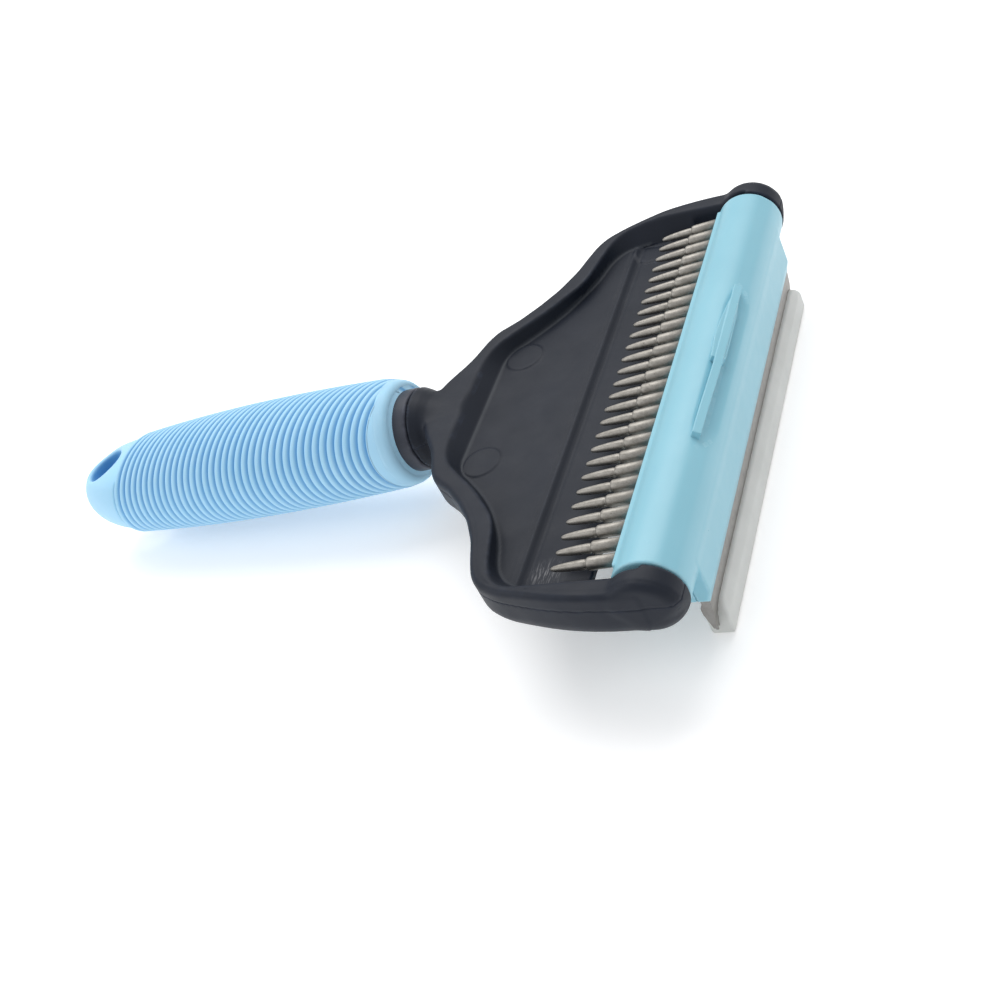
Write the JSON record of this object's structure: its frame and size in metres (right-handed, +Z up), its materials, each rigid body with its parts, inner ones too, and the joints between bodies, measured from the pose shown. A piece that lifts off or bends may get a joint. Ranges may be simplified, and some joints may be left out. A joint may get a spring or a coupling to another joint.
{
  "type": "dematting comb",
  "caption": "Two-way pet dematting comb: a barrel with a row of stepped pins and a covered blade turns between the ears of a tray-shaped head on a ribbed round handle.",
  "frame": {"origin": "middle of the bounding box, on the plane that the blade cover stands on", "axes": "+X along the handle towards the head, +Y across the head towards its far ear, +Z up, out of the tray"},
  "size_m": [0.1816, 0.125, 0.0324],
  "materials": {
    "shell_black": "satin black moulded plastic with a fine texture",
    "core_black": "matt black moulded plastic",
    "grip_blue": "soft matt light blue rubber",
    "barrel_blue": "semi-gloss light blue plastic",
    "pin_steel": "satin stainless steel",
    "blade_steel": "ground stainless steel",
    "screw_steel": "zinc-plated steel",
    "rod_steel": "bright drawn steel",
    "spring_steel": "blued spring steel",
    "acetal_white": "natural acetal",
    "cover_clear": "translucent grey-white soft plastic"
  },
  "bodies": {
    "frame": {"tray_shell": "shell_black", "rear_shell": "shell_black", "handle_core": "core_black", "grip_sleeve": "grip_blue", "case_screws": "screw_steel", "neck_screws": "screw_steel", "near_bush": "acetal_white", "far_bush": "acetal_white", "detent_leaf": "spring_steel"},
    "barrel": {"barrel_front": "barrel_blue", "barrel_back": "barrel_blue", "comb_bar": "screw_steel", "comb_pins": "pin_steel", "deshedding_blade": "blade_steel", "blade_dowels": "rod_steel", "barrel_screws": "screw_steel", "pivot_rod": "rod_steel", "detent_wheel": "acetal_white", "thrust_washers": "acetal_white", "rod_clip": "spring_steel"},
    "cover": {"blade_cover": "cover_clear"}
  },
  "joints": [
    {"name": "barrel_turn", "type": "hinge", "parent": "frame", "child": "barrel", "pos_m": [0.08323, 0, 0.022], "axis": [0, 1, 0], "range_deg": [0, 90]},
    {"name": "cover_pull", "type": "slide", "parent": "barrel", "child": "cover", "axis": [0, 0, -1], "range_m": [0, 0.0075]}
  ]
}
